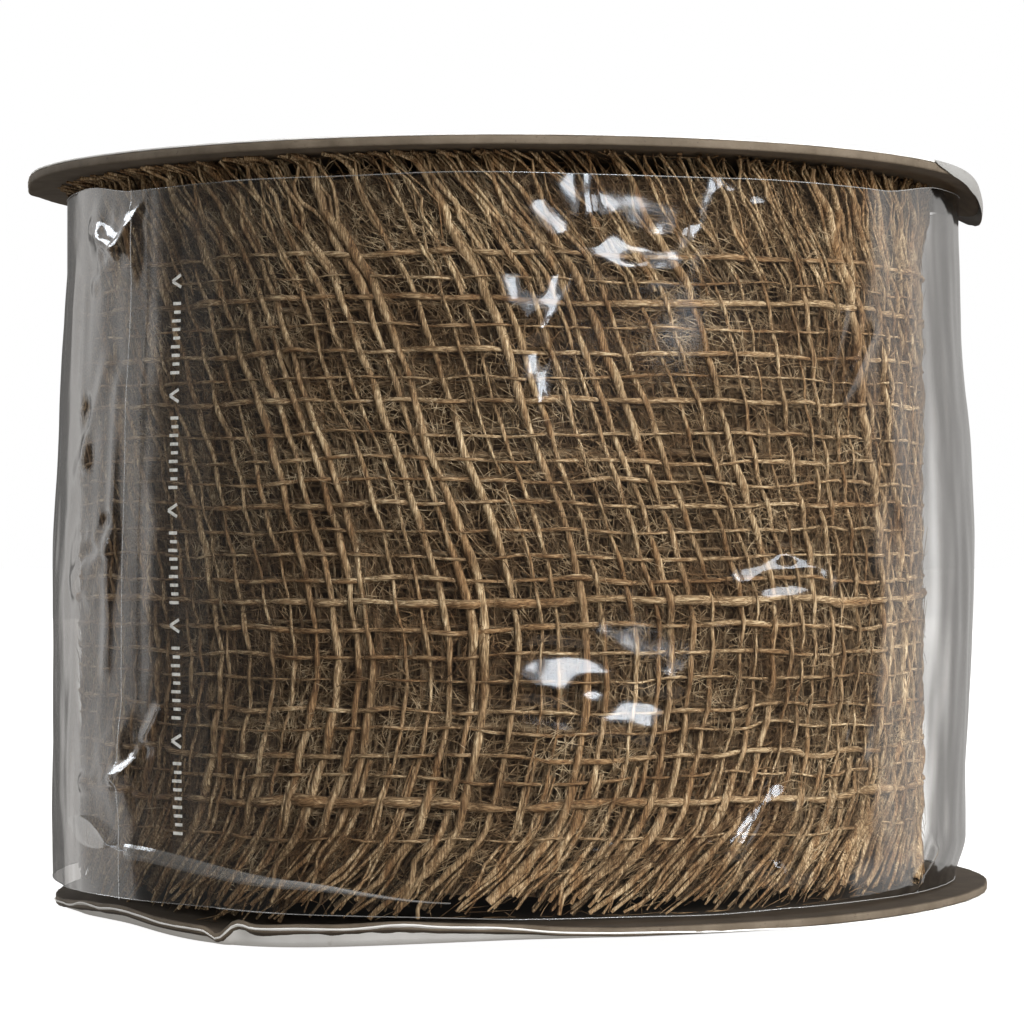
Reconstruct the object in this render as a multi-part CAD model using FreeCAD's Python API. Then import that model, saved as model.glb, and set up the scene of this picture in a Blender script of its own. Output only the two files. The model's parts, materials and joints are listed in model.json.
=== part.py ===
import FreeCAD, Part
import math
import os

# A spool of woven ribbon: a paper tube core between two card flanges, the ribbon wound
# on it, and a clear film cover wrapped round the roll with a flap that lifts and reseals.
# Millimetres and degrees. The spool's axis is +Z, and z = 0 is the face that it stands on.
# Angles are counted from +X towards +Y, so the front of the spool, -Y, is at 270.

# Ribbon
ribbon_width = 63.5
ribbon_length = 4572.0
turn_pitch = 0.935  # how much one turn adds to the roll's radius

# Core tube, wound from three plies of paper
core_bore_radius = 17.4
ply_thickness = 0.55
core_plies = ("core_inner_ply", "core_middle_ply", "core_outer_ply")

# Tape that starts the first turn on the core
tape_thickness = 0.1
tape_height = 40.0
tape_from, tape_to = 60.0, 112.0

# Flanges: a card board with a white paper facing outside
board_thickness = 0.8
facing_thickness = 0.15
spindle_radius = 12.7
flange_overhang = 4.5  # beyond the roll
ribbon_end_room = 1.5  # between the ribbon's edge and each flange
glue_thickness = 0.2

# Film cover
film_thickness = 0.2
film_slack = 1.65  # between the roll and the film
film_lift = 0.3  # between the bottom flange and the film
film_headroom = 2.0  # between the film and the top flange

# Lift flap, its adhesive strip and its printed marks
hinge_angle = 234.0
flap_edge_angle = 219.0
flap_gap = 0.25  # between the film and the flap lying on it
seam_to_angle = 241.0  # where the film's outer end stops doubling the film below
seam_clearance = 0.3  # between the flap's hinge line and the doubled film
adhesive_thickness = 0.1
adhesive_from, adhesive_to = 228.0, 233.4
adhesive_end_margin = 2.5
ink_thickness = 0.06
mark_angle = 227.0
mark_width = 1.1
dash_length = 6.4
mark_space = 1.5
mark_groups = 5

# What follows from them
core_outer_radius = core_bore_radius + len(core_plies) * ply_thickness
ribbon_inner_radius = core_outer_radius + tape_thickness
roll_radius = math.sqrt(ribbon_inner_radius**2 + ribbon_length * turn_pitch / math.pi)
flange_radius = roll_radius + flange_overhang

gap_bottom = facing_thickness + board_thickness
gap_top = gap_bottom + ribbon_width + 2 * ribbon_end_room
overall_height = gap_top + board_thickness + facing_thickness
middle_height = overall_height / 2

film_inner_radius = roll_radius + film_slack
film_outer_radius = film_inner_radius + film_thickness
film_bottom = gap_bottom + film_lift
film_top = gap_top - film_headroom
flap_inner_radius = film_outer_radius + flap_gap
flap_outer_radius = flap_inner_radius + film_thickness


def ring(inner, outer, bottom, top):
    """A round tube or disc about the spool's axis, with a hole."""
    base = FreeCAD.Vector(0, 0, bottom)
    height = top - bottom
    return Part.makeCylinder(outer, height, base).cut(Part.makeCylinder(inner, height, base))


def sector(inner, outer, bottom, top, start, end):
    """The part of a ring from one angle to another."""
    base = FreeCAD.Vector(0, 0, bottom)
    up = FreeCAD.Vector(0, 0, 1)
    height = top - bottom
    wedge = Part.makeCylinder(outer, height, base, up, end - start)
    wedge.rotate(FreeCAD.Vector(0, 0, 0), up, start)
    return wedge.cut(Part.makeCylinder(inner, height, base))


def angle_of(arc_length, radius):
    """The angle that a length along a circle takes up."""
    return math.degrees(arc_length / radius)


def core_ply(number):
    """One paper ply of the core tube, counted from the bore outwards."""
    inner = core_bore_radius + number * ply_thickness
    return ring(
        inner, inner + ply_thickness, gap_bottom + glue_thickness, gap_top - glue_thickness
    )


def glue_ring(bottom):
    """Glue between one end of the core tube and a flange."""
    return ring(core_bore_radius, core_outer_radius, bottom, bottom + glue_thickness)


def flange_layer(bottom, thickness):
    """A round layer of a flange, with the spindle hole."""
    return ring(spindle_radius, flange_radius, bottom, bottom + thickness)


def starter_tape():
    """The tape on the core that holds the ribbon's inner end."""
    half = tape_height / 2
    return sector(
        core_outer_radius,
        ribbon_inner_radius,
        middle_height - half,
        middle_height + half,
        tape_from,
        tape_to,
    )


def burlap_ribbon():
    """The wound ribbon as one closed roll."""
    bottom = gap_bottom + ribbon_end_room
    return ring(ribbon_inner_radius, roll_radius, bottom, bottom + ribbon_width)


def cover_wrap():
    """The film band round the roll, doubled where its outer end is bonded down."""
    band = ring(film_inner_radius, film_outer_radius, film_bottom, film_top)
    seam = sector(
        film_inner_radius,
        flap_outer_radius,
        film_bottom,
        film_top,
        hinge_angle + angle_of(seam_clearance, flap_inner_radius),
        seam_to_angle,
    )
    return band.fuse(seam).removeSplitter()


def reseal_adhesive():
    """The tacky strip on the band that the flap presses down on."""
    return sector(
        film_outer_radius,
        film_outer_radius + adhesive_thickness,
        film_bottom + adhesive_end_margin,
        film_top - adhesive_end_margin,
        adhesive_from,
        adhesive_to,
    )


def lift_flap():
    """The film's free outer end, from the hinge line to its edge."""
    return sector(
        flap_inner_radius, flap_outer_radius, film_bottom, film_top, flap_edge_angle, hinge_angle
    )


def flap_legend():
    """Printed dashes and dots in a row up the flap, as one group of marks."""
    half_angle = angle_of(mark_width, flap_outer_radius) / 2
    group_height = dash_length + mark_width + 2 * mark_space
    height = (film_bottom + film_top - mark_groups * group_height + mark_space) / 2
    marks = []
    for _ in range(mark_groups):
        for length in (dash_length, mark_width):
            marks.append(
                sector(
                    flap_outer_radius,
                    flap_outer_radius + ink_thickness,
                    height,
                    height + length,
                    mark_angle - half_angle,
                    mark_angle + half_angle,
                )
            )
            height += length + mark_space
    return Part.makeCompound(marks)


def spool():
    """Every piece by its node's name."""
    pieces = {name: core_ply(number) for number, name in enumerate(core_plies)}
    pieces["bottom_glue_ring"] = glue_ring(gap_bottom)
    pieces["top_glue_ring"] = glue_ring(gap_top - glue_thickness)
    pieces["bottom_flange_facing"] = flange_layer(0, facing_thickness)
    pieces["bottom_flange_board"] = flange_layer(facing_thickness, board_thickness)
    pieces["top_flange_board"] = flange_layer(gap_top, board_thickness)
    pieces["top_flange_facing"] = flange_layer(gap_top + board_thickness, facing_thickness)
    pieces["starter_tape"] = starter_tape()
    pieces["burlap_ribbon"] = burlap_ribbon()
    pieces["cover_wrap"] = cover_wrap()
    pieces["reseal_adhesive"] = reseal_adhesive()
    pieces["lift_flap"] = lift_flap()
    pieces["flap_legend"] = flap_legend()
    return pieces


os.makedirs("parts", exist_ok=True)
for name, shape in spool().items():
    shape.exportStep(f"parts/{name}.step")
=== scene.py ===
import json
import math
import random

import bmesh
import bpy
from mathutils import Euler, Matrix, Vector, noise


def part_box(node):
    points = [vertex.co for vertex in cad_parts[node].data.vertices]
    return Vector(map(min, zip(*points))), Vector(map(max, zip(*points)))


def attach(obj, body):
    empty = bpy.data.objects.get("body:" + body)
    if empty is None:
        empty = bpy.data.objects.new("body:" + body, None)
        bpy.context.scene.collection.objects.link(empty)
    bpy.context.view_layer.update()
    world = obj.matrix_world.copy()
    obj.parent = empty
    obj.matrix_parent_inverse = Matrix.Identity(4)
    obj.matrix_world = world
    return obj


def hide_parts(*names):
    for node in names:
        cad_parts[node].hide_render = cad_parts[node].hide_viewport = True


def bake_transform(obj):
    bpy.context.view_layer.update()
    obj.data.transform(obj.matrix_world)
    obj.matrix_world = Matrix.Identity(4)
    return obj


# A spool of burlap ribbon in a clear film cover. Metres throughout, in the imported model's frame:
# the spool's axis is +Z and its front faces -Y. A bearing is in degrees from the front, and
# grows towards +X, the right.

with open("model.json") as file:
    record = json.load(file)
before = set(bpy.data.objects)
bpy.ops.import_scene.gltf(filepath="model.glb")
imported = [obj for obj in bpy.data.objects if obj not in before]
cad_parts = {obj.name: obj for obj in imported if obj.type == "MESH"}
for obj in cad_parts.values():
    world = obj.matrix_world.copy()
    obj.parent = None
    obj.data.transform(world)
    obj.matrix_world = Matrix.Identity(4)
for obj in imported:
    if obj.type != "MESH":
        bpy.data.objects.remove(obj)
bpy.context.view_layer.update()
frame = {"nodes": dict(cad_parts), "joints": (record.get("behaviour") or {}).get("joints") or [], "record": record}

MM = 0.001

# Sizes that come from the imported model
ribbon_low, ribbon_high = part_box("burlap_ribbon")
lower_board_low, lower_board_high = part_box("bottom_flange_board")
upper_board_low, upper_board_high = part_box("top_flange_board")
wrap_low, wrap_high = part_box("cover_wrap")
core_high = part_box("core_outer_ply")[1]
flap_hinge = next(j for j in frame["joints"] if j["name"] == "flap_lift")
bore = next(m for m in frame["record"]["mounts"] if m["name"] == "spindle_bore")

ROLL = ribbon_high.x
RIBBON_BOTTOM, RIBBON_TOP = ribbon_low.z, ribbon_high.z
FLANGE = lower_board_high.x
HOLE = bore["dims"]["r_mm"] * MM
FILM_BOTTOM, FILM_TOP = wrap_low.z, wrap_high.z
CORE = core_high.x
MIDDLE = (RIBBON_BOTTOM + RIBBON_TOP) / 2

# The ribbon
WARPS = 24
FRINGE = 6.0 * MM  # bare weft ends below the first warp
TOP_FRINGE = 7.2 * MM  # and above the last
WEFT_PITCH = 2.05 * MM
WARP_PITCH = (RIBBON_TOP - RIBBON_BOTTOM - FRINGE - TOP_FRINGE) / (WARPS - 1)
TURN_RISE = 0.935 * MM  # what each turn adds to the roll's radius
WEFT_RISE = 0.17 * MM  # how far the upright yarns move in and out as they weave
WARP_RISE = 0.34 * MM  # and the long ones
YARN_TURNS = 3  # outer turns made yarn by yarn
HAIRS = 6800  # loose hairs in each of several layers
HAIR_LAYERS = 5
TURN_PAINTED_SHADE = (1.0, 0.55, 0.45)  # the turns underneath are darkened: painted shade, as they lie in the shadow of the outer turn
WEFT_GRAIN = (9000, 700, 5000)  # how the fibre marks run along the yarns
WARP_GRAIN = (700, 9000, 5000)
CLOTH_OUT = ROLL - 0.55 * MM  # the middle of the outermost turn
UNDER_FILM = ROLL + 0.62 * MM - CLOTH_OUT  # how far out from that a yarn inside the film may reach
CUT_END = 148.0  # bearing of the ribbon's cut end, at the back
BOW_APEX = RIBBON_BOTTOM + 22.0 * MM  # height where the wefts stand upright
LOWEST_END = lower_board_high.z + 0.35 * MM  # how low and how high a loose end may reach
HIGHEST_END = upper_board_low.z - 0.25 * MM
OVER_FILM = wrap_high.z + 1.85 * MM  # yarns that reach this clear the film's wavering edge

PAPER_TRIM = 0.05 * MM  # the flanges' papers stop this short of their cards

# The film
HINGE = math.degrees(math.atan2(flap_hinge["pos_m"][0], -flap_hinge["pos_m"][1]))
FLAP_EDGE = HINGE - 15.0
BAND_START, BAND_END = HINGE + 0.6, HINGE + 369.0  # from just past the hinge line to under the flap


def smooth(value, low, high):
    """0 below low, 1 above high, and an even curve between them."""
    share = min(max((value - low) / (high - low), 0.0), 1.0)
    return share * share * (3 - 2 * share)


def place(radius, bearing, height):
    """The point at a radius, a bearing and a height."""
    turn = math.radians(bearing)
    return Vector((radius * math.sin(turn), -radius * math.cos(turn), height))


def side_of(bearing):
    """A bearing as -180 to 180 degrees, negative on the left."""
    return (bearing + 180) % 360 - 180


def ripple(bearing, height, width, tall, seed=0.0):
    """A smooth bump between -1 and 1 that joins up round the spool."""
    at = place(ROLL / width, bearing, height / tall)
    return noise.noise(at + Vector((seed, seed * 1.7, seed * 2.3)))


# ---------- materials


class Finish:
    """A material being made, with short ways to add its nodes."""

    def __init__(self, name):
        self.material = bpy.data.materials.new(name)
        self.material.use_nodes = True
        self.tree = self.material.node_tree
        self.shader = self.tree.nodes["Principled BSDF"]

    def node(self, kind, inputs=None, **settings):
        made = self.tree.nodes.new(kind)
        for key, value in settings.items():
            setattr(made, key, value)
        for key, value in (inputs or {}).items():
            self.feed(made.inputs[key], value)
        return made

    def feed(self, socket, value):
        if isinstance(value, bpy.types.NodeSocket):
            self.tree.links.new(value, socket)
        else:
            socket.default_value = value

    def set(self, **inputs):
        for key, value in inputs.items():
            self.feed(self.shader.inputs[key.replace("_", " ")], value)

    def maths(self, operation, first, second=0.0):
        return self.node("ShaderNodeMath", {0: first, 1: second}, operation=operation).outputs[0]

    def place(self):
        return self.node("ShaderNodeTexCoord").outputs["Object"]

    def stretched(self, scale, source=None):
        mapping = self.node("ShaderNodeMapping", {"Vector": source or self.place()})
        mapping.inputs["Scale"].default_value = scale
        return mapping.outputs[0]

    def around(self):
        """Coordinates that follow the roll: length round it, height, and distance from its axis."""
        parts = self.node("ShaderNodeSeparateXYZ", {0: self.place()})
        back = self.maths("MULTIPLY", parts.outputs["Y"], -1.0)
        turn = self.maths("ARCTAN2", parts.outputs["X"], back)
        reach = self.node(
            "ShaderNodeCombineXYZ", {"X": parts.outputs["X"], "Y": parts.outputs["Y"]}
        )
        length = self.node("ShaderNodeVectorMath", {0: reach.outputs[0]}, operation="LENGTH")
        return self.node(
            "ShaderNodeCombineXYZ",
            {
                "X": self.maths("MULTIPLY", turn, ROLL),
                "Y": parts.outputs["Z"],
                "Z": length.outputs["Value"],
            },
        ).outputs[0]

    def noise(self, vector, scale=1.0, detail=2.0, roughness=0.5):
        return self.node(
            "ShaderNodeTexNoise",
            {"Vector": vector, "Scale": scale, "Detail": detail, "Roughness": roughness},
        ).outputs["Fac"]

    def ramp(self, share, *stops):
        made = self.node("ShaderNodeValToRGB", {"Fac": share})
        elements = made.color_ramp.elements
        while len(elements) < len(stops):
            elements.new(0.5)
        for element, (position, colour) in zip(elements, stops):
            element.position = position
            element.color = (*colour, 1.0)
        return made.outputs["Color"]

    def mix(self, share, first, second, blend="MIX"):
        made = self.node("ShaderNodeMix", data_type="RGBA", blend_type=blend)
        self.feed(made.inputs["Factor"], share)
        for socket, value in ((made.inputs[6], first), (made.inputs[7], second)):
            self.feed(socket, (*value, 1.0) if isinstance(value, tuple) else value)
        return made.outputs[2]

    def bump(self, height, distance, strength=1.0):
        made = self.node(
            "ShaderNodeBump", {"Height": height, "Distance": distance, "Strength": strength}
        )
        self.set(Normal=made.outputs["Normal"])


def jute(name, grain, tone=1.0):
    """Twisted jute. grain stretches the fibre marks along the yarn, as (round, up, out)."""
    finish = Finish(name)
    around = finish.around()
    fibres = finish.noise(finish.stretched(grain, around), 1.0, 3.0, 0.65)
    strands = finish.noise(finish.stretched(tuple(g * 0.12 for g in grain), around), 1.0, 1.0)
    patches = finish.noise(around, 190.0, 2.0)
    # tone darkens the whole colour; for the turns underneath it is painted shade
    shade = finish.ramp(
        fibres,
        (0.31, (0.046 * tone, 0.025 * tone, 0.010 * tone)),
        (0.49, (0.212 * tone, 0.142 * tone, 0.078 * tone)),
        (0.70, (0.560 * tone, 0.450 * tone, 0.310 * tone)),
    )
    each = finish.ramp(strands, (0.36, (0, 0, 0)), (0.62, (1, 1, 1)))
    warm = finish.mix(each, (0.72, 0.58, 0.44), (1.20, 1.19, 1.14))
    toned = finish.mix(1.0, shade, warm, "MULTIPLY")
    patchy = finish.ramp(patches, (0.36, (0, 0, 0)), (0.64, (1, 1, 1)))
    dull = finish.mix(patchy, (0.74, 0.68, 0.60), (1.20, 1.19, 1.16))
    finish.set(Base_Color=finish.mix(1.0, toned, dull, "MULTIPLY"), Roughness=0.82)
    finish.bump(fibres, 0.16 * MM, 0.6)
    return finish.material


def wound_cloth_finish():
    """The inner turns, seen only between the yarns: a coarse check of jute, darkened as painted shade."""
    finish = Finish("wound_cloth")
    around = finish.around()
    across = finish.noise(finish.stretched((450, 3200, 500), around), 1.0, 2.0)
    along = finish.noise(finish.stretched((3200, 450, 500), around), 1.0, 2.0)
    both = finish.maths("MAXIMUM", across, along)
    # jute colours at about half their brightness: painted shade in the gaps between the outer yarns
    finish.set(
        Base_Color=finish.ramp(both, (0.45, (0.05, 0.028, 0.013)), (0.72, (0.26, 0.165, 0.085))),
        Roughness=0.9,
    )
    finish.bump(both, 0.3 * MM)
    return finish.material


def card_finish(name, shade_and_dust_tone):
    """Grey board: soft mottling, dark flecks and short fibres, and flat faces darkened as painted shade with some
    dust.
    """
    finish = Finish(name)
    here = finish.place()
    mottle = finish.noise(here, 260.0, 4.0, 0.6)
    flecks = finish.noise(here, 2600.0, 2.0, 0.7)
    fibres = finish.noise(finish.stretched((900, 4200, 4200)), 1.0, 2.0)
    base = finish.ramp(mottle, (0.3, (0.085, 0.064, 0.043)), (0.7, (0.150, 0.118, 0.085)))
    fleck = finish.ramp(flecks, (0.28, (1, 1, 1)), (0.36, (0, 0, 0)))
    marked = finish.mix(fleck, base, (0.07, 0.05, 0.035))
    normal = finish.node("ShaderNodeNewGeometry").outputs["Normal"]
    upright = finish.node("ShaderNodeSeparateXYZ", {0: normal}).outputs["Z"]
    flat = finish.maths("ABSOLUTE", upright)
    # flat faces, top and underside, are darkened: painted shade with some dust
    painted_shade_and_dust = finish.ramp(flat, (0.35, (1, 1, 1)), (0.85, shade_and_dust_tone))
    finish.set(Base_Color=finish.mix(1.0, marked, painted_shade_and_dust, "MULTIPLY"), Roughness=0.86)
    finish.bump(finish.mix(0.5, fibres, mottle), 0.06 * MM)
    return finish.material


def facing_finish(name, tone):
    """White clay-coated paper, a little grubby, with faint scuffs."""
    finish = Finish(name)
    here = finish.place()
    grubby = finish.noise(here, 60.0, 5.0, 0.65)
    scuffs = finish.noise(finish.stretched((900, 160, 900)), 1.0, 3.0)
    # tone darkens the paper; the lip's copy uses it as painted shade
    base = finish.ramp(
        grubby,
        (0.35, (0.62 * tone, 0.595 * tone, 0.56 * tone)),
        (0.62, (0.76 * tone, 0.745 * tone, 0.72 * tone)),
    )
    scuff = finish.ramp(scuffs, (0.66, (0, 0, 0)), (0.8, (0.6, 0.6, 0.6)))
    worn = finish.mix(scuff, base, (0.5 * tone, 0.47 * tone, 0.43 * tone))
    finish.set(Base_Color=worn, Roughness=0.5)
    finish.bump(finish.noise(here, 1800.0, 3.0), 0.02 * MM)
    return finish.material


def core_finish():
    """Brown core paper with the spiral seam of its winding."""
    finish = Finish("core_paper")
    around = finish.around()
    parts = finish.node("ShaderNodeSeparateXYZ", {0: around})
    slant = finish.maths("MULTIPLY", parts.outputs["X"], 0.42)
    climb = finish.maths("ADD", parts.outputs["Y"], slant)
    seam = finish.maths("PINGPONG", climb, 24 * MM)
    line = finish.maths("LESS_THAN", seam, 0.25 * MM)
    fibres = finish.noise(finish.stretched((500, 4000, 4000), around), 1.0, 3.0)
    base = finish.ramp(fibres, (0.3, (0.27, 0.195, 0.125)), (0.7, (0.42, 0.325, 0.225)))
    finish.set(Base_Color=finish.mix(line, base, (0.11, 0.075, 0.045)), Roughness=0.85)
    finish.bump(fibres, 0.05 * MM)
    return finish.material


def glue_finish():
    """Dried white glue, cloudy and uneven."""
    finish = Finish("glue")
    cloud = finish.noise(finish.place(), 420.0, 3.0)
    finish.set(
        Base_Color=finish.ramp(cloud, (0.35, (0.62, 0.55, 0.40)), (0.65, (0.82, 0.77, 0.63))),
        Roughness=0.35,
    )
    finish.bump(cloud, 0.15 * MM)
    return finish.material


def tape_finish():
    """Creped paper tape."""
    finish = Finish("tape")
    crepe = finish.noise(finish.stretched((300, 5200, 300), finish.around()), 1.0, 2.0)
    finish.set(
        Base_Color=finish.ramp(crepe, (0.3, (0.60, 0.50, 0.33)), (0.7, (0.76, 0.67, 0.48))),
        Roughness=0.6,
    )
    finish.bump(crepe, 0.05 * MM)
    return finish.material


def clear_finish(name, least, milk, roughness):
    """Clear film: see-through face on, a grey mirror at glancing angles, with a little haze."""
    finish = Finish(name)
    tree = finish.tree
    tree.nodes.remove(finish.shader)
    facing = finish.node("ShaderNodeLayerWeight", {"Blend": 0.5}).outputs["Facing"]
    glancing = finish.maths("POWER", facing, 3.6)
    share = finish.maths("ADD", finish.maths("MULTIPLY", glancing, 1.0 - least), least)
    edge_on = finish.node(
        "ShaderNodeMapRange",
        {"Value": facing, "From Min": 0.46, "From Max": 0.73},
        interpolation_type="SMOOTHSTEP",
    ).outputs["Result"]
    around = finish.around()
    fine = finish.noise(finish.stretched((420, 300, 420), around), 1.0, 1.0, 0.4)
    scratches = finish.noise(finish.stretched((2400, 260, 500), around), 1.0, 2.0)
    height = finish.maths("ADD", fine, finish.maths("MULTIPLY", scratches, 0.05))
    bump = finish.node(
        "ShaderNodeBump", {"Height": height, "Distance": 0.06 * MM, "Strength": 0.5}
    ).outputs["Normal"]
    clear = finish.node(
        "ShaderNodeBsdfTransparent",
        {"Color": finish.mix(edge_on, (0.975, 0.975, 0.97), (0.26, 0.25, 0.24))},
    )
    haze = finish.node("ShaderNodeBsdfDiffuse", {"Color": (0.8, 0.79, 0.77, 1.0)})
    shine = finish.node(
        "ShaderNodeBsdfAnisotropic",
        {"Color": (0.97, 0.98, 1.0, 1.0), "Roughness": roughness, "Normal": bump},
    )
    body = finish.node("ShaderNodeMixShader", {0: milk, 1: clear.outputs[0], 2: haze.outputs[0]})
    both = finish.node("ShaderNodeMixShader", {0: share, 1: body.outputs[0], 2: shine.outputs[0]})
    tree.links.new(both.outputs[0], tree.nodes["Material Output"].inputs["Surface"])
    return finish.material


def ink_finish():
    """White ink, thin in places."""
    finish = Finish("white_ink")
    thin = finish.noise(finish.place(), 3000.0, 2.0)
    finish.set(
        Base_Color=finish.ramp(thin, (0.3, (0.42, 0.41, 0.37)), (0.6, (0.66, 0.64, 0.59))),
        Roughness=0.4,
    )
    return finish.material


def floor_finish():
    """A plain pale floor that only the camera sees, so that the film doesn't mirror it."""
    finish = Finish("pale_floor")
    tree = finish.tree
    seen = finish.node("ShaderNodeLightPath").outputs["Is Camera Ray"]
    pale = finish.node("ShaderNodeMixShader", {0: 0.35})
    glow = finish.node("ShaderNodeEmission", {"Color": (0.95, 0.95, 0.95, 1.0), "Strength": 1.5})
    lit = finish.node("ShaderNodeBsdfDiffuse", {"Color": (0.9, 0.9, 0.9, 1.0)})
    unseen = finish.node("ShaderNodeBsdfTransparent")
    tree.links.new(glow.outputs[0], pale.inputs[1])
    tree.links.new(lit.outputs[0], pale.inputs[2])
    both = finish.node("ShaderNodeMixShader", {0: seen, 1: unseen.outputs[0], 2: pale.outputs[0]})
    tree.links.new(both.outputs[0], tree.nodes["Material Output"].inputs["Surface"])
    return finish.material


# ---------- making pieces


def finished(name, mesh, material, body, replaced=()):
    """A mesh as a piece that rides on a body and stands for CAD nodes."""
    piece = bpy.data.objects.new(name, mesh)
    bpy.context.scene.collection.objects.link(piece)
    mesh.materials.clear()
    mesh.materials.append(material)
    mesh.shade_smooth()
    if body:
        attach(piece, body)
    if replaced:
        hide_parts(*replaced)
    return piece


def mesh_from(bm, name):
    mesh = bpy.data.meshes.new(name)
    bm.normal_update()
    bm.to_mesh(mesh)
    bm.free()
    return mesh


def strands_mesh(name, strands, sides=6):
    """Round strands as one mesh. Each strand is a list of (point, radius)."""
    curve = bpy.data.curves.new(name, "CURVE")
    curve.dimensions = "3D"
    curve.bevel_depth = 1.0
    curve.bevel_resolution = (sides - 4) // 2
    for strand in strands:
        spline = curve.splines.new("POLY")
        spline.points.add(len(strand) - 1)
        spline.points.foreach_set("co", [c for p, _ in strand for c in (p.x, p.y, p.z, 1.0)])
        spline.points.foreach_set("radius", [radius for _, radius in strand])
    holder = bpy.data.objects.new(name, curve)
    bpy.context.scene.collection.objects.link(holder)
    mesh = bpy.data.meshes.new_from_object(holder)
    bpy.data.objects.remove(holder)
    bpy.data.curves.remove(curve)
    mesh.name = name
    return mesh


def wrapped_grid(name, columns, rows, shape):
    """A flat grid laid round the spool: shape(across, up) gives the point for shares from 0 to 1."""
    bm = bmesh.new()
    bmesh.ops.create_grid(bm, x_segments=columns, y_segments=rows, size=0.5)
    for vert in bm.verts:
        vert.co = shape(vert.co.x + 0.5, vert.co.y + 0.5)
    return mesh_from(bm, name)


# ---------- the ribbon


def bow(bearing, height):
    """How far the wefts are dragged round: they lean above the apex and curl back below it."""
    side = side_of(bearing)
    rise = height - BOW_APEX
    uneven = 1.0 + 0.30 * ripple(side, 0.0, 22 * MM, 1.0, 5.1)
    if rise > 0:
        lean = 0.40 - 0.12 * smooth(side, 18, 50) * smooth(side, 120, 80)
        raw_edge = max(height - RIBBON_TOP + TOP_FRINGE + 2 * MM, 0.0)
        leaning = rise - 6 * MM * (1 - math.exp(-rise / (6 * MM)))
        swept = 0.16 + 0.18 * smooth(side, 5, 20)
        return -lean * uneven * leaning - swept * raw_edge
    curl_back = 10.5 + 6.0 * max(math.sin(math.radians(side)), 0.0)
    raw_edge = max(RIBBON_BOTTOM + FRINGE - height, 0.0)
    return -curl_back * rise * rise * uneven - 0.45 * raw_edge


def cloth_place(wound, height, rise=0.0, stray=0.0):
    """A point on the wound cloth: degrees in from the cut end, height, and distance outwards."""
    bearing = CUT_END + wound
    turn = wound // 360
    dragged = bow(bearing, height)
    dragged += 0.75 * MM * ripple(bearing, height, 9 * MM, 13 * MM, 11.0 + turn)
    dragged += 0.34 * MM * ripple(bearing, height, 3.5 * MM, 6 * MM, 3.0 + turn)
    lifted = 0.50 * MM * ripple(bearing, height, 14 * MM, 7 * MM, 23.0 + turn)
    lifted += 0.26 * MM * ripple(bearing, height, 4 * MM, 3 * MM, 31.0 + turn)
    radius = CLOTH_OUT - TURN_RISE * wound / 360 + rise
    turned = bearing + math.degrees((dragged + stray) / CLOTH_OUT)
    lowest = LOWEST_END + min(lower_warp(bearing, 0.85), 0.0)
    return place(radius, turned, min(max(height + lifted, lowest), HIGHEST_END))


def yarn_thickness(rng, typical, thick_share):
    """A yarn's usual radius, with some much thicker ones."""
    thick = typical * math.exp(rng.gauss(0.0, 0.30))
    if rng.random() < thick_share:
        thick *= rng.uniform(1.4, 2.0)
    return min(max(thick, 0.11 * MM), 0.42 * MM)


def slub(distance, seed):
    """How a yarn swells and thins along its length."""
    swell = noise.noise(Vector((distance / (7 * MM), seed * 3.7, 0.5)))
    fine = noise.noise(Vector((distance / (1.6 * MM), seed * 5.9, 8.5)))
    return 1.0 + 0.70 * max(swell, -0.4) + 0.25 * fine


def weft_places(turn, rng):
    """Where the upright yarns of one turn stand, in degrees in from the cut end."""
    step = math.degrees(WEFT_PITCH / CLOTH_OUT)
    first = 5 if turn == 0 else 0
    counts = range(first, int(360 / step))
    return [(count, 360 * turn + (count + 0.5 + rng.gauss(0.0, 0.17)) * step) for count in counts]


def weft_line(rng, wound, sign, thick, points, astray=0.0):
    """One upright yarn: it weaves between the warps, and its ends are loose and wavy."""
    seed = rng.uniform(0, 500)
    low = RIBBON_BOTTOM + rng.uniform(-1.2, 1.0) * MM
    low += 0.85 * min(lower_warp(CUT_END + wound, 0.85), 0.0)
    high = RIBBON_TOP + rng.uniform(1.1, 2.6) * MM
    line = []
    for index in range(points + 1):
        height = low + (high - low) * index / points
        from_first_warp = (height - RIBBON_BOTTOM - FRINGE) / WARP_PITCH
        loose = max(-from_first_warp, from_first_warp - (WARPS - 1), 0.0) * WARP_PITCH
        free = smooth(loose, 0.0, 5 * MM)
        weave = math.cos(math.pi * from_first_warp) * sign * (1.0 - smooth(loose, 0.0, 2 * MM))
        wander = noise.noise(Vector((seed, height / (3.2 * MM), 1.5)))
        lift = noise.noise(Vector((seed, height / (3.0 * MM), 7.5)))
        flare = (0.85 if from_first_warp > 0 else 0.35) * MM * smooth(loose, 2 * MM, 7 * MM)
        front = math.cos(math.radians(CUT_END + wound))
        tip = smooth(height, OVER_FILM, OVER_FILM + 0.5 * MM)
        flare += tip * (0.5 + 1.4 * smooth(abs(front), 0.4, 0.7)) * MM
        rise = WEFT_RISE * weave + 0.45 * MM * lift * free + flare
        tangled = noise.noise(Vector((seed, height / (1.1 * MM), 4.5))) * free
        stray = wander * (0.16 * MM + 1.5 * MM * free) + astray * (0.3 + 0.7 * free)
        stray += 0.40 * MM * tangled
        radius = thick * slub(height, seed) * (1.0 - 0.3 * smooth(loose, 2 * MM, 8 * MM))
        if height < OVER_FILM:
            rise = min(rise, UNDER_FILM - radius)
        line.append((cloth_place(wound, height, rise, stray), radius))
    return line


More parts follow.
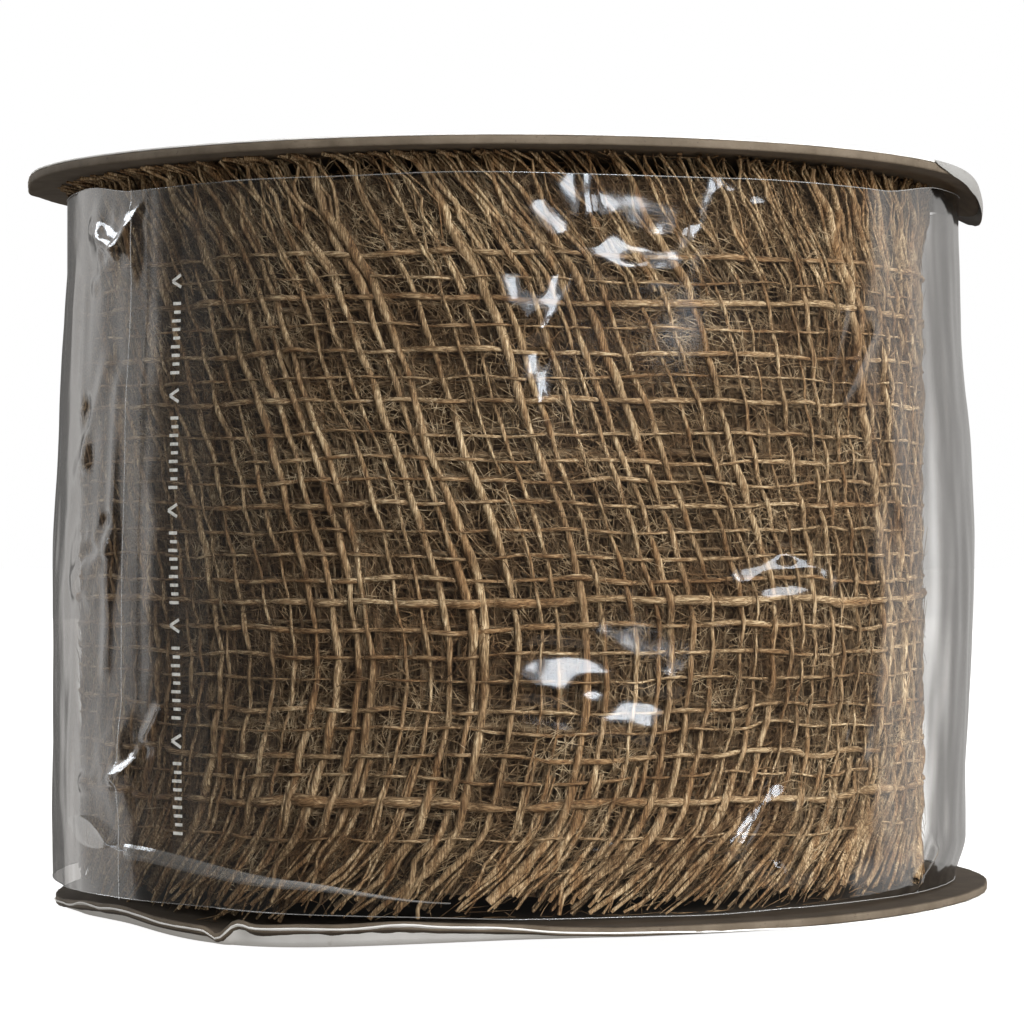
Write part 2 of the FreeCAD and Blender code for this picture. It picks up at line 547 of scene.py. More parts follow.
def wefts(turn, rng, steps_between):
    """The upright yarns of one turn."""
    points = round((RIBBON_TOP - RIBBON_BOTTOM) / WARP_PITCH * steps_between)
    strands = []
    for count, wound in weft_places(turn, rng):
        side = side_of(CUT_END + wound)
        share = 0.08 + 0.22 * smooth(abs(side + 2), 16, 6)
        thick = yarn_thickness(rng, 0.225 * MM, share)
        strands.append(weft_line(rng, wound, (-1) ** count, thick, points))
    return strands


def fringe(turn, rng):
    """Untwisted plies beside the yarns, along both raw edges."""
    strands = []
    for count, wound in weft_places(turn, rng):
        for _ in range(2):
            astray = rng.gauss(0.0, 0.6) * MM
            whole = weft_line(rng, wound, (-1) ** count, rng.uniform(0.10, 0.22) * MM, 44, astray)
            strands += [whole[:9], whole[-9:]]
    return strands


def warps(turn, rng, steps_between):
    """The long yarns of one turn."""
    step = math.degrees(WEFT_PITCH / CLOTH_OUT)
    strands = []
    for count in range(WARPS):
        thick = yarn_thickness(rng, 0.18 * MM, 0.15)
        seed = rng.uniform(0, 500)
        sway = rng.gauss(0.0, 0.14) * WARP_PITCH
        start = rng.uniform(-2.0, 6.0) if turn == 0 else 0.0
        points = round((360 - start) / step * steps_between)
        strand = []
        for index in range(points + 1):
            wound = start + (360 - start) * index / points
            height = RIBBON_BOTTOM + FRINGE + count * WARP_PITCH + sway
            weave = -math.cos(math.pi * (wound / step - 0.5)) * (-1) ** count
            length = math.radians(wound) * CLOTH_OUT
            height += 0.32 * MM * noise.noise(Vector((length / (6 * MM), seed, 2.5)))
            rise = WARP_RISE * weave + 0.05 * MM
            point = cloth_place(360 * turn + wound, height, rise)
            strand.append((point, thick * slub(length, seed)))
        strands.append(strand)
    return strands


def loose_fibres(rng, count, turns):
    """Fine hairs that stand off the yarns, more of them along the cut edges."""
    strands = []
    for _ in range(count):
        wound = rng.uniform(4, 360 * turns)
        if rng.random() < 0.15:
            edge = rng.choice((RIBBON_BOTTOM + 3 * MM, RIBBON_TOP - 3 * MM))
            height = edge + rng.gauss(0.0, 2.2) * MM
        else:
            height = rng.uniform(RIBBON_BOTTOM + 2 * MM, RIBBON_TOP - 2 * MM)
        upright = rng.random() < 0.55
        heading = (math.pi / 2 if upright else 0.0) + rng.gauss(0.0, 0.55)
        curl = rng.gauss(0.0, 0.5)
        length = rng.uniform(1.8, 6.0) * MM
        rise = rng.uniform(-0.35, 0.30) * MM
        climb = rng.gauss(0.0, 0.10) * MM
        thick = rng.uniform(0.016, 0.042) * MM
        strand = []
        for index in range(4):
            strand.append((cloth_place(wound, height, rise), thick * (1.0 if index < 3 else 0.5)))
            wound += math.degrees(math.cos(heading) * length / 3 / CLOTH_OUT)
            height += math.sin(heading) * length / 3
            heading += curl
            rise = min(max(rise + climb, -0.5 * MM), 0.9 * MM)
        strands.append(strand)
    return strands


def ribbon():
    """The outer turns yarn by yarn, over the inner turns as one wound strip of cloth."""
    hair_jute = jute("jute_hair", (900, 900, 900), 0.78)
    for turn in range(YARN_TURNS):
        rng = random.Random(40 + turn)
        detail = 3 if turn == 0 else 2
        for kind, make, grain in (("weft", wefts, WEFT_GRAIN), ("warp", warps, WARP_GRAIN)):
            name = f"{kind}_yarns_{turn + 1}"
            mesh = strands_mesh(name, make(turn, rng, detail), 6 if turn == 0 else 4)
            # the turns underneath get darker copies of the jute: painted shade
            finish = jute(f"jute_{kind}_{turn + 1}", grain, TURN_PAINTED_SHADE[turn])
            finished(name, mesh, finish, "spool")
    for turn in range(2):
        name = f"fringe_plies_{turn + 1}"
        mesh = strands_mesh(name, fringe(turn, random.Random(60 + turn)), 4)
        # the second turn's plies are darker: painted shade
        finish = jute(f"jute_fringe_{turn + 1}", WEFT_GRAIN, (0.95, 0.7)[turn])
        finished(name, mesh, finish, "spool")
    for layer in range(HAIR_LAYERS):
        name = f"loose_fibres_{layer + 1}"
        turns = 1 if layer < HAIR_LAYERS - 1 else 2
        mesh = strands_mesh(name, loose_fibres(random.Random(70 + layer), HAIRS, turns), 4)
        finished(name, mesh, hair_jute, "spool")

    first = 360.0 * YARN_TURNS
    turns = (CLOTH_OUT - CORE) / TURN_RISE - YARN_TURNS
    inset = 0.4 * MM

    def shape(across, up):
        height = RIBBON_BOTTOM + inset + (RIBBON_TOP - RIBBON_BOTTOM - 2 * inset) * up
        return cloth_place(first + 360 * (turns - 0.3) * across, height)

    cloth = finished(
        "wound_cloth", wrapped_grid("wound_cloth", 1500, 12, shape), wound_cloth_finish(),
        "spool", ["burlap_ribbon"],
    )


# ---------- the flanges


def lower_warp(bearing, reach):
    """How the bottom flange is bent: it sags at the left of the front, and its rim curls up."""
    side = side_of(bearing)
    spread = 20.0 if side < -30 else 26.0
    sag = -1.55 * MM * math.exp(-(((side + 30) / spread) ** 2)) * smooth(reach, 0.25, 0.86)
    crush = -1.1 * MM * smooth(side, -45, -68) * smooth(side, -150, -110) * smooth(reach, 0.86, 1.0)
    wave = 0.20 * MM * ripple(side, 0.0, 26 * MM, 1.0, 7.0) * smooth(reach, 0.6, 1.0)
    curl = 1.25 * MM * smooth(side, 14, -14) * smooth(side, -33.5, -30.5)
    curl += 0.80 * MM * smooth(side, -31.5, -34.5) * smooth(side, -80, -60)
    tattered = smooth(side, 20, -5) * smooth(side, -66, -50)
    curl += 0.16 * MM * ripple(side, 0.0, 4 * MM, 1.0, 2.0) * tattered
    curl -= 0.22 * MM * math.exp(-(((side + 33.0) / 1.1) ** 2))
    curl += 0.40 * MM * math.exp(-(((side + 29.8) / 1.2) ** 2))
    return sag + crush + wave + curl * smooth(reach, 0.955, 1.0)


def lower_pull(bearing, reach):
    """How far the crushed left side of the bottom flange is drawn in."""
    side = side_of(bearing)
    drawn = 2.7 * MM * smooth(side, -36, -72) * smooth(side, -155, -115)
    spread = 0.7 * MM * smooth(side, 40, 85) * smooth(side, 140, 100)
    return (drawn - spread) * smooth(reach, 0.8, 1.0)


def upper_warp(bearing, reach):
    """How the top flange is bent: its rim droops at the right."""
    side = side_of(bearing)
    droop = -2.0 * MM * math.exp(-(((side - 90) / 15) ** 2)) * smooth(reach, 0.91, 1.0)
    wave = 0.20 * MM * ripple(side, 0.0, 30 * MM, 1.0, 17.0) * smooth(reach, 0.6, 1.0)
    nick = -0.35 * MM * math.exp(-(((side + 86) / 6) ** 2)) * smooth(reach, 0.93, 1.0)
    return droop + wave + nick


def lower_lip(bearing, reach):
    """Where the bottom paper is bent up round the rim."""
    side = side_of(bearing)
    uneven = 1.0 + 0.5 * ripple(side, 0.0, 5 * MM, 1.0, 19.0)
    return uneven * smooth(side, -100, -75) * smooth(side, 40, 5) * smooth(reach, 0.975, 0.998)


def flange_layer(name, node, bends, material, trim=0.0):
    """A round layer of card or paper with the spindle hole, spun from its section and bent."""
    low, high = (corner.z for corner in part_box(node))
    bm = bmesh.new()
    reaches = (0.0, 0.2, 0.4, 0.55, 0.65, 0.74, 0.82, 0.88, 0.92, 0.95, 0.965, 0.98, 0.992, 1.0)
    rim = FLANGE - trim
    line = [bm.verts.new((HOLE + (rim - HOLE) * reach, 0, low)) for reach in reaches]
    section = [bm.edges.new(pair) for pair in zip(line, line[1:])]
    bmesh.ops.spin(
        bm, geom=line + section, cent=(0, 0, 0), axis=(0, 0, 1), dvec=(0, 0, 0),
        angle=2 * math.pi, steps=480, use_merge=True,
    )
    bmesh.ops.recalc_face_normals(bm, faces=bm.faces)
    if bm.faces[0].normal.z > 0:
        bmesh.ops.reverse_faces(bm, faces=bm.faces)
    sheet_faces = list(bm.faces)
    raised = bmesh.ops.extrude_face_region(bm, geom=sheet_faces)
    lifted = [item for item in raised["geom"] if isinstance(item, bmesh.types.BMVert)]
    bmesh.ops.translate(bm, verts=lifted, vec=(0, 0, high - low))
    corners = [
        edge for edge in bm.edges
        if len(edge.link_faces) == 2 and edge.calc_face_angle(0.0) > 1.0
    ]
    bmesh.ops.bevel(
        bm, geom=corners, offset=0.22 * (high - low), offset_type="OFFSET", segments=2,
        profile=0.5, affect="EDGES", material=-1,
    )
    bmesh.ops.recalc_face_normals(bm, faces=bm.faces)
    warp, pull = bends
    for vert in bm.verts:
        radius = math.hypot(vert.co.x, vert.co.y)
        reach = min(max((radius - HOLE) / (FLANGE - HOLE), 0.0), 1.0)
        bearing = math.degrees(math.atan2(vert.co.x, -vert.co.y))
        rough = 0.1 * MM * ripple(bearing, 0.0, 1.3 * MM, 1.0, low * 900) * smooth(reach, 0.97, 1.0)
        bent = radius - pull(bearing, reach) + rough
        vert.co = place(bent, bearing, vert.co.z + warp(bearing, reach))
    return finished(name, mesh_from(bm, name), material, "spool", [node])


def flanges():
    # the bottom card's flat faces are darkened to under half: painted shade with some dust
    shaded_dusty = card_finish("shaded_dusty_board", (0.42, 0.39, 0.36))
    card, paper = card_finish("grey_board", (0.95, 0.93, 0.90)), facing_finish("facing_paper", 1.0)
    lower, upper = (lower_warp, lower_pull), (upper_warp, lambda bearing, reach: 0.0)
    lipped = (
        lambda bearing, reach: lower_warp(bearing, reach) + 0.50 * MM * lower_lip(bearing, reach),
        lambda bearing, reach: lower_pull(bearing, reach) - 0.20 * MM * lower_lip(bearing, reach),
    )
    flange_layer("bottom_card", "bottom_flange_board", lower, shaded_dusty)
    flange_layer(
        "bottom_paper", "bottom_flange_facing", lipped, paper, PAPER_TRIM
    )
    flange_layer("top_card", "top_flange_board", upper, card)
    flange_layer("top_paper", "top_flange_facing", upper, paper, PAPER_TRIM)
    # the lip's paper is a copy of the facing paper at a third of its brightness: painted shade
    shaded_worn_lip(facing_finish("shaded_lip_paper", 0.34))


def shaded_worn_lip(paper):
    """Top paper bent down over the drooping rim at the right, in a darkened copy of the paper: painted shade."""
    paper_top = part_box("top_flange_facing")[1].z

    def shape(across, up):
        bearing = 58 + 56 * across
        fade = math.sin(math.pi * across) ** 0.6
        top = paper_top + upper_warp(bearing, 1.0) + 0.03 * MM
        torn = 0.12 * MM * ripple(bearing, 0.0, 2.2 * MM, 1.0, 9.0)
        height = top - (2.0 * MM * fade + torn) * (1 - up)
        out = 0.10 * MM + 0.25 * MM * fade * math.sin(math.pi * (1 - up) * 0.8)
        return place(FLANGE + out, bearing, height)

    mesh = wrapped_grid("top_paper_lip", 60, 5, shape)
    finished("top_paper_lip", mesh, paper, "spool")


def core():
    """The core's plies and tape keep their CAD shape and get their papers."""
    paper = core_finish()
    for node in ("core_inner_ply", "core_middle_ply", "core_outer_ply"):
        retouch(node, paper)
    retouch("starter_tape", tape_finish())
    glue = glue_finish()
    for node in ("bottom_glue_ring", "top_glue_ring"):
        retouch(node, glue)


def retouch(node, material):
    """A CAD node that is shown as it is, in a better material."""
    for material_slot in frame["nodes"][node].material_slots:
        material_slot.material = material


# ---------- the film

# Pinched lines in the film: two ends as (bearing, height in mm), half width and depth in mm.
CREASES = (
    ((9.4, 65.2), (10.2, 60.0), 1.0, 0.30),
    ((23.6, 60.6), (25.5, 64.5), 0.8, 0.30),
    ((27.5, 7.3), (32.4, 12.4), 0.8, 0.30),
    ((27.5, 7.3), (33.1, 4.9), 0.8, 0.30),
    ((33.1, 4.9), (37.5, 4.6), 0.9, 0.30),
    ((32.4, 12.4), (36.5, 9.0), 0.9, 0.25),
    ((63.0, 5.2), (60.0, 2.2), 1.0, 0.50),
    ((60.0, 2.2), (37.0, 1.8), 0.8, 0.35),
    ((42.5, 46.2), (49.1, 52.6), 1.0, 0.22),
    ((36.0, 40.0), (43.5, 54.0), 0.9, 0.18),
    ((-62.2, 11.7), (-50.5, 12.6), 1.3, 0.50),
    ((-50.5, 12.6), (-44.7, 18.2), 1.1, 0.40),
    ((-66.0, 30.5), (-58.0, 32.0), 1.2, 0.25),
    ((-64.0, 62.5), (-56.0, 60.0), 1.3, 0.50),
    ((-56.0, 60.0), (-50.5, 64.0), 1.1, 0.40),
    ((-58.0, 50.0), (-66.0, 40.0), 2.0, 0.20),
    ((-55.0, 48.0), (-56.5, 22.0), 1.6, 0.25),
)
# Facets that lean back and mirror the window: two ends as (bearing, height in mm) and width in mm.
GLINTS = (
    ((4.4, 63.0), (6.0, 60.2), 0.8),
    ((1.5, 57.0), (3.6, 51.6), 0.9),
    ((6.3, 56.8), (4.4, 52.0), 0.6),
    ((3.8, 50.8), (3.9, 45.5), 0.5),
    ((8.8, 64.9), (10.2, 61.6), 1.5),
    ((11.2, 59.8), (14.6, 58.4), 1.6),
    ((15.8, 58.0), (19.8, 58.3), 1.2),
    ((21.0, 59.2), (22.2, 61.0), 0.7),
    ((5.0, 22.6), (9.6, 22.0), 2.4),
    ((10.0, 19.6), (16.0, 18.7), 1.8),
    ((28.2, 30.4), (33.8, 32.3), 0.9),
    ((33.8, 32.3), (39.6, 30.6), 1.0),
    ((31.0, 29.2), (37.0, 29.6), 1.1),
    ((27.5, 7.3), (32.4, 12.4), 0.5),
    ((27.5, 7.3), (33.1, 4.9), 0.5),
    ((23.6, 7.8), (27.5, 7.3), 0.6),
    ((44.4, 15.9), (46.2, 15.2), 0.7),
    ((25.4, 64.6), (28.8, 64.1), 0.5),
    ((30.0, 63.0), (34.0, 64.4), 0.4),
    ((24.4, 26.6), (26.6, 26.2), 0.5),
    ((-2.6, 3.6), (0.2, 3.2), 0.6),
    ((4.0, 4.6), (6.4, 5.0), 0.5),
    ((10.0, 6.8), (12.4, 8.2), 0.4),
    ((-58.8, 62.6), (-54.6, 60.6), 1.0),
    ((-63.0, 57.5), (-59.5, 59.5), 0.9),
    ((-66.0, 30.0), (-60.5, 32.2), 1.2),
    ((-57.0, 35.5), (-55.5, 33.0), 0.8),
    ((-62.2, 11.8), (-55.0, 12.0), 1.0),
    ((-52.5, 12.4), (-47.6, 15.0), 0.8),
    ((-64.6, 46.0), (-63.0, 41.0), 0.8),
)
# Wider facets that lean back less and only catch the glow round the window
VEILS = (
    ((13.0, 63.0), (18.0, 61.6), 2.2),
    ((13.5, 26.4), (19.0, 23.6), 2.6),
    ((3.4, 18.6), (7.8, 18.2), 1.6),
)
# Raised or sunken pads: centre as (bearing, height in mm), half sizes in mm, depth in mm.
PADS = (
    ((16.5, 61.5), 6.8, 6.2, -0.22),
    ((33.5, 27.5), 6.8, 7.0, 0.40),
    ((30.0, 9.0), 5.0, 4.5, 0.40),
    ((-57.0, 61.0), 7.0, 5.0, 0.35),
    ((-60.0, 32.0), 7.0, 6.0, 0.25),
    ((-55.0, 14.0), 7.0, 6.0, 0.35),
    ((-10.0, 40.0), 10.0, 12.0, -0.30),
    ((26.0, 45.0), 9.0, 12.0, 0.30),
)
# Finely crumpled spots: centre as (bearing, height in mm), reach, cell and depth in mm.
CRUMPLES = (
    ((17.0, 63.5), 5.0, 3.4, 0.06),
    ((29.0, 64.0), 4.5, 2.0, 0.16),
    ((37.0, 12.5), 5.0, 2.4, 0.14),
    ((45.0, 15.5), 3.5, 1.6, 0.12),
    ((62.0, 5.0), 4.0, 2.0, 0.16),
    ((-57.0, 61.0), 6.5, 3.0, 0.20),
    ((-62.0, 31.0), 6.0, 3.0, 0.20),
    ((-52.0, 13.5), 6.0, 2.8, 0.18),
    ((1.0, 4.0), 5.0, 1.8, 0.14),
)


def offset_from(bearing, height, spot):
    """Length round and height from a spot given as (bearing, height in mm)."""
    return math.radians(side_of(bearing - spot[0])) * ROLL, height - spot[1] * MM


def from_line(bearing, height, first, second):
    """Distance from a line between two spots, and height above the line's middle."""
    x, y = offset_from(bearing, height, first)
    run, climb = offset_from(second[0], second[1] * MM, first)
    share = min(max((x * run + y * climb) / (run * run + climb * climb), 0.0), 1.0)
    return math.hypot(x - share * run, y - share * climb), y - climb / 2


def pinched(bearing, height, creases):
    total = 0.0
    for first, second, width, depth in creases:
        away, _ = from_line(bearing, height, first, second)
        total += depth * MM * max(0.0, 1.0 - away / (width * MM)) ** 1.3
    return total


def leaned_back(bearing, height, facets, share):
    """Facets turned to mirror the window, by a share of the full lean."""
    total = 0.0
    for first, second, width in facets:
        away, above = from_line(bearing, height, first, second)
        if away < width * MM * 1.5:
            uneven = 0.08 * ripple(bearing, height, 1.6 * MM, 2.6 * MM)
            lean = share * (0.198 + 2.5 * (MIDDLE - height)) + uneven
            inside = 1.0 - smooth(away, 0.55 * width * MM, 1.5 * width * MM)
            total -= lean * above * inside
    return total


def pad_height(bearing, height):
    total = 0.0
    for spot, wide, tall, depth in PADS:
        x, y = offset_from(bearing, height, spot)
        out = (x / (wide * MM)) ** 2 + (y / (tall * MM)) ** 2
        if out < 1:
            total += depth * MM * (1 - out) ** 1.5
    return total


def crumple_height(bearing, height):
    total = 0.0
    for spot, reach, cell, depth in CRUMPLES:
        x, y = offset_from(bearing, height, spot)
        fade = 1.0 - smooth(math.hypot(x, y), 0.25 * reach * MM, reach * MM)
        if fade > 0:
            at = Vector((x / (cell * MM), y / (cell * MM), spot[0]))
            near, nearest = noise.voronoi(at)[0][:2]
            total += depth * MM * fade * (0.5 - min(nearest - near, 0.5)) * 2
    return total


def film_radius(bearing, height):
    """The film's own shape: loose on the right, drawn in at the top, and wrinkled."""
    turn = math.radians(bearing)
    right = math.sin(turn)
    loose = 3.0 * MM + 0.95 * MM * right - 1.15 * MM * math.cos(turn) ** 2
    share = (height - FILM_BOTTOM) / (FILM_TOP - FILM_BOTTOM)
    loose -= 1.05 * MM * smooth(share, 0.45, 1.0) * (0.75 + 0.6 * abs(right))
    loose -= 0.75 * MM * max(right, 0.0) * smooth(share, 0.42, 0.1)
    loose -= 1.1 * MM * max(right, 0.0) * smooth(share, 0.07, 0.0)
    loose += 0.34 * MM * ripple(bearing, height, 15 * MM, 24 * MM, 41.0)
    rough = 0.35 + 0.65 * smooth(abs(side_of(bearing)), 38, 52)
    loose += 0.17 * MM * rough * ripple(bearing, height, 6 * MM, 9 * MM, 43.0)
    loose += 0.05 * MM * rough * ripple(bearing, height, 2.8 * MM, 4.2 * MM, 47.0)
    folds = smooth(abs(side_of(bearing)), 44, 54)
    loose += 0.13 * MM * folds * ripple(bearing, height, 2.4 * MM, 14 * MM, 57.0)
    loose += pinched(bearing, height, CREASES) + pad_height(bearing, height)
    loose += crumple_height(bearing, height)
    loose += leaned_back(bearing, height, GLINTS, 1.0) + leaned_back(bearing, height, VEILS, 0.6)
    return ROLL + max(loose, 0.75 * MM)


def film_edge_height(bearing, up):
    """The film's height for a share from its bottom edge to its top edge, which both waver."""
    side = math.sin(math.radians(bearing)) ** 2
    top = FILM_TOP - 0.1 * MM + 1.0 * MM * smooth(side, 0.62, 0.85)
    top += 0.22 * MM * ripple(bearing, 0.0, 12 * MM, 1.0, 51.0)
    bottom = FILM_BOTTOM + 0.2 * MM + 0.2 * MM * ripple(bearing, 0.0, 12 * MM, 1.0, 53.0)
    return bottom + (top - bottom) * up


def overlap_lift(bearing):
    """How far the outer end of the film stands off the turn below it."""
    return 0.38 * MM * (1.0 - smooth(bearing, HINGE + 3, HINGE + 18))


def film_point(bearing, height, lift=0.0):
    """A point on the film, or lifted off it."""
    return place(film_radius(bearing, height) + overlap_lift(bearing) + lift, bearing, height)


def band_point(across, up):
    """A point on the band for shares of its length and height."""
    bearing = BAND_START + (BAND_END - BAND_START) * across
    return film_point(bearing, film_edge_height(side_of(bearing), up))


def film_band(film):
    """One turn of film from just past the flap's hinge line, and on under the flap."""

    band = finished(
        "film_band", wrapped_grid("film_band", 620, 130, band_point),
        film, "cover", ["cover_wrap"],
    )


def film_flap(film):
    """The free end of the film, from its free edge to the hinge line."""
    start, end = FLAP_EDGE, HINGE + 0.9

    def shape(across, up):
        bearing = start + (end - start) * across
        curl = 0.5 * MM * smooth(bearing, FLAP_EDGE + 3.5, FLAP_EDGE) ** 2
        return film_point(bearing, film_edge_height(bearing, up), curl)

    mesh = wrapped_grid("film_flap", 34, 150, shape)
    flap = finished("film_flap", mesh, film, None, ["lift_flap"])
    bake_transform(flap)


def adhesive_strip():
    """The tacky strip under the flap."""
    low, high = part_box("reseal_adhesive")

    def shape(across, up):
        bearing = HINGE - 6.4 + 5.6 * across
        round_off = 1.2 * MM * (2 * abs(across - 0.5)) ** 6
        height = low.z + round_off + (high.z - low.z - 2 * round_off) * up
        return place(film_radius(bearing, height) + 0.14 * MM, bearing, height)

    finished(
        "adhesive_strip", wrapped_grid("adhesive_strip", 10, 110, shape),
        clear_finish("adhesive", 0.01, 0.015, 0.3), "cover", ["reseal_adhesive"],
    )


def legend():
    """Plain printed marks up the flap: rows of short ticks with an arrowhead after each row."""
    low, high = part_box("flap_legend")
    bearing = HINGE - 7.0
    half = 0.55 * MM
    line = 0.14 * MM
    bm = bmesh.new()

    def stroke(start, end):
        """A straight printed line between two (round, height) points."""
        made = bmesh.ops.create_grid(bm, x_segments=6, y_segments=1, size=0.5)
        run = Vector(end) - Vector(start)
        side = Vector((-run.y, run.x)).normalized() * line
        for vert in made["verts"]:
            flat = Vector(start) + run * (vert.co.x + 0.5) + side * vert.co.y * 2
            askew = 1.3 * MM * (high.z - flat.y) / (high.z - low.z)
            turned = bearing + math.degrees((flat.x + askew) / ROLL)
            vert.co = film_point(turned, flat.y, 0.03 * MM)

    groups, ticks = 5, 9
    group_height = (high.z - low.z) / groups
    for group in range(groups):
        bottom = low.z + group * group_height
        tick_space = group_height * 0.68 / ticks
        for tick in range(ticks):
            level = bottom + tick * tick_space
            reach = half * (1.0, 0.55, 0.8)[tick % 3]
            stroke((-reach, level), (half, level))
        tip = bottom + group_height * 0.80
        stroke((-half, tip), (half, tip + half))
        stroke((-half, tip), (half, tip - half))
    mesh = mesh_from(bm, "flap_marks")
    finished("flap_marks", mesh, ink_finish(), "flap", ["flap_legend"])


def film_rims():
    """The cut edges of the film, which catch the light as thin pale lines."""
    thick = 0.045 * MM
    ends = [[(band_point(step / 480, up), thick) for step in range(481)] for up in (0.0, 1.0)]
    mesh = strands_mesh("film_rims", ends)
    edge = clear_finish("film_edge", 0.14, 0.20, 0.12)
    finished("film_rims", mesh, edge, "cover")
    heights = [film_edge_height(FLAP_EDGE, step / 160) for step in range(161)]
    free = [(film_point(FLAP_EDGE, height, 0.5 * MM), thick) for height in heights]
    finished("flap_rim", strands_mesh("flap_rim", [free]), edge, "flap")


def folded_hem():
    """The film's lower edge turned up on itself at the left of the front."""

    def shape(across, up):
        bearing = -51 + 45 * across
        base = (5.8 - 1.9 * smooth(bearing, -51, -24) - 1.2 * smooth(bearing, -26, -6)) * MM
        tall = (0.15 + 1.2 * smooth(bearing, -4, -44)) * MM
        height = base + tall * (up - 0.5)
        lift = 0.16 * MM + 0.22 * MM * math.sin(math.pi * up)
        return place(film_radius(bearing, height) + lift, bearing, height)

    folded = clear_finish("folded_film", 0.10, 0.15, 0.12)
    mesh = wrapped_grid("film_hem", 110, 6, shape)
    finished("film_hem", mesh, folded, "cover")

    def corner(across, up):
        bearing = -67 + 17 * across
        tall = 2.6 * MM * math.sin(math.pi * min(across * 1.3, 1.0)) ** 0.8
        height = (7.8 - 1.9 * across) * MM + (up - 0.5) * tall
        lift = 0.3 * MM + 0.8 * MM * across * up
        return place(film_radius(bearing, height) + lift, bearing, height)

    mesh = wrapped_grid("film_tuck", 30, 6, corner)
    finished("film_tuck", mesh, folded, "cover")


# ---------- floor, light and camera


def stage():
    """A plain pale floor at the lowest point of the sagging flange."""
    bm = bmesh.new()
    bmesh.ops.create_grid(bm, x_segments=8, y_segments=8, size=3.0)
    lowest = min(v.co.z for v in bpy.data.objects["bottom_paper"].data.vertices)
    bmesh.ops.translate(bm, verts=bm.verts, vec=(0, 0, lowest - 0.02 * MM))
    floor = bpy.data.objects.new("floor", mesh_from(bm, "floor"))
    bpy.context.scene.collection.objects.link(floor)
    floor.data.materials.append(floor_finish())


CAMERA_AWAY = 0.3518  # from the spool's axis
CAMERA_LENS = 126.7

# How bright the room is at each bearing, from straight behind round through the left and front
WALLS = (
    (-180, 0.30), (-162, 0.14), (-153, 0.20), (-143, 0.90), (-103, 1.02), (-98, 0.12), (-50, 0.06),
    (30, 0.06), (90, 0.10), (98, 0.20), (103, 1.05), (118, 1.05), (134, 0.72), (180, 0.40),
)


def surround():
    """A room that is bright behind the spool and dim in front of it."""
    world = bpy.data.worlds.new("studio")
    bpy.context.scene.world = world
    world.use_nodes = True
    tree = world.node_tree
    backdrop = tree.nodes["Background"]
    where = tree.nodes.new("ShaderNodeTexCoord")
    parts = tree.nodes.new("ShaderNodeSeparateXYZ")
    tree.links.new(where.outputs["Generated"], parts.inputs[0])

    def maths(operation, *inputs):
        made = tree.nodes.new("ShaderNodeMath")
        made.operation = operation
        for socket, value in zip(made.inputs, inputs):
            if isinstance(value, bpy.types.NodeSocket):
                tree.links.new(value, socket)
            else:
                socket.default_value = value
        return made.outputs[0]

    bearing = maths("ARCTAN2", parts.outputs["X"], maths("MULTIPLY", parts.outputs["Y"], -1.0))
    ring = tree.nodes.new("ShaderNodeValToRGB")
    tree.links.new(maths("MULTIPLY_ADD", bearing, 0.5 / math.pi, 0.5), ring.inputs[0])
    elements = ring.color_ramp.elements
    while len(elements) < len(WALLS):
        elements.new(0.5)
    for element, (turn, level) in zip(elements, WALLS):
        element.position = turn / 360 + 0.5
        element.color = (level, level, level, 1.0)
    above = maths("MULTIPLY", maths("SUBTRACT", parts.outputs["Z"], 0.35), 0.3)
    ceiling = maths("MAXIMUM", above, 0.0)
    below = maths("LESS_THAN", parts.outputs["Z"], -0.40)
    walls = maths("MULTIPLY", ring.outputs["Color"], maths("SUBTRACT", 1.0, below))
    table = maths("MULTIPLY", below, 0.30)
    total = maths("ADD", maths("ADD", walls, table), ceiling)
    seen = tree.nodes.new("ShaderNodeLightPath")
    choose = tree.nodes.new("ShaderNodeMix")
    tree.links.new(seen.outputs["Is Camera Ray"], choose.inputs["Factor"])
    tree.links.new(total, choose.inputs["A"])
    choose.inputs["B"].default_value = 1.0
    tree.links.new(choose.outputs["Result"], backdrop.inputs["Strength"])
    tint = tree.nodes.new("ShaderNodeMix")
    tint.data_type = "RGBA"
    tree.links.new(seen.outputs["Is Camera Ray"], tint.inputs["Factor"])
    tint.inputs[6].default_value = (1.0, 0.965, 0.915, 1.0)
    tint.inputs[7].default_value = (1.0, 1.0, 1.0, 1.0)
    tree.links.new(tint.outputs[2], backdrop.inputs["Color"])


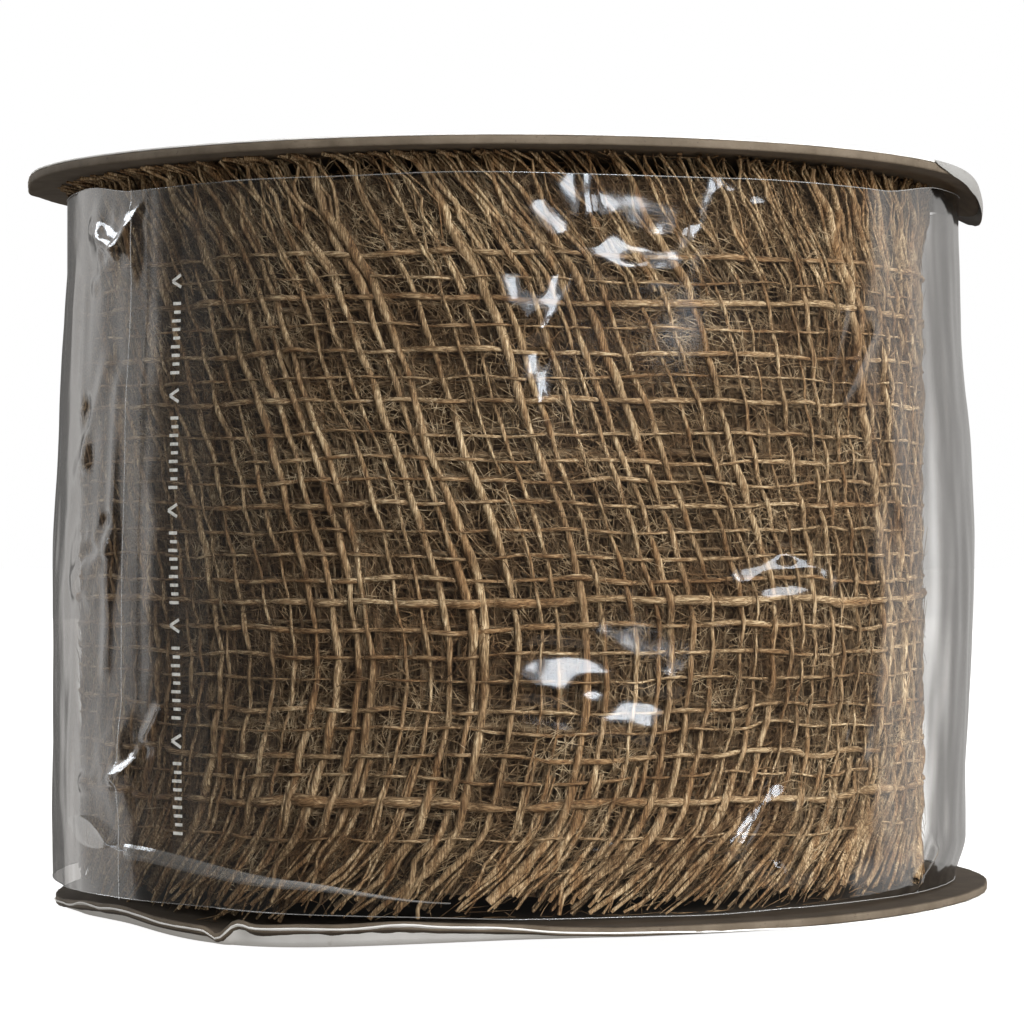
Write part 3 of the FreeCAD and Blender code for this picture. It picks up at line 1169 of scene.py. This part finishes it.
def lamp(name, bearing, elevation, distance, size, watts, colour=(1.0, 1.0, 1.0), mirrored=False):
    """A rectangular studio light aimed at the spool. Only a mirrored one shows in the film."""
    light = bpy.data.lights.new(name, "AREA")
    light.shape = "RECTANGLE"
    light.size, light.size_y = size
    light.energy = watts
    light.color = colour
    holder = bpy.data.objects.new(name, light)
    bpy.context.scene.collection.objects.link(holder)
    away = place(math.cos(math.radians(elevation)), bearing, math.sin(math.radians(elevation)))
    middle = Vector((0, 0, MIDDLE))
    holder.location = middle + away * distance
    holder.rotation_euler = away.to_track_quat("Z", "Y").to_euler()
    holder.visible_glossy = mirrored


def lights():
    warm, cold, colder = (1.0, 0.98, 0.95), (0.90, 0.95, 1.0), (0.80, 0.90, 1.0)
    lamp("key", 52, 19, 1.1, (0.5, 0.5), 12.0, warm)
    lamp("front_fill", 16, -2, 1.2, (0.7, 0.7), 6.5, warm)
    lamp("top_fill", -20, 62, 1.2, (0.6, 0.5), 1.0)
    lamp("back_fill", 195, 10, 1.1, (0.6, 0.5), 8.0, warm)
    lamp("window", 20, 22, 0.9, (0.50, 0.20), 3.4, cold, mirrored=True)
    lamp("window_glow", 20, 24, 1.0, (0.85, 0.42), 2.0, colder, mirrored=True)
    lamp("window_right", 66, 23, 0.9, (0.55, 0.16), 2.2, cold, mirrored=True)
    lamp("window_left", -112, 23, 0.9, (0.55, 0.16), 1.8, cold, mirrored=True)


def camera():
    """Level with the middle of the spool and close to it."""
    data = bpy.data.cameras.new("camera")
    data.sensor_width = 36.0
    data.lens = CAMERA_LENS
    data.clip_start = 0.01
    holder = bpy.data.objects.new("camera", data)
    bpy.context.scene.collection.objects.link(holder)
    holder.location = (0.0, -CAMERA_AWAY, MIDDLE + 0.46 * MM)
    holder.rotation_euler = Euler((math.radians(90.29), 0.0, math.radians(-0.13)))
    bpy.context.scene.camera = holder
    bpy.context.scene.view_settings.view_transform = "Standard"


camera()
ribbon()
flanges()
core()
clear = clear_finish("clear_film", 0.056, 0.0, 0.115)
film_band(clear)
film_flap(clear)
adhesive_strip()
legend()
film_rims()
folded_hem()
stage()
surround()
lights()

bpy.context.view_layer.update()
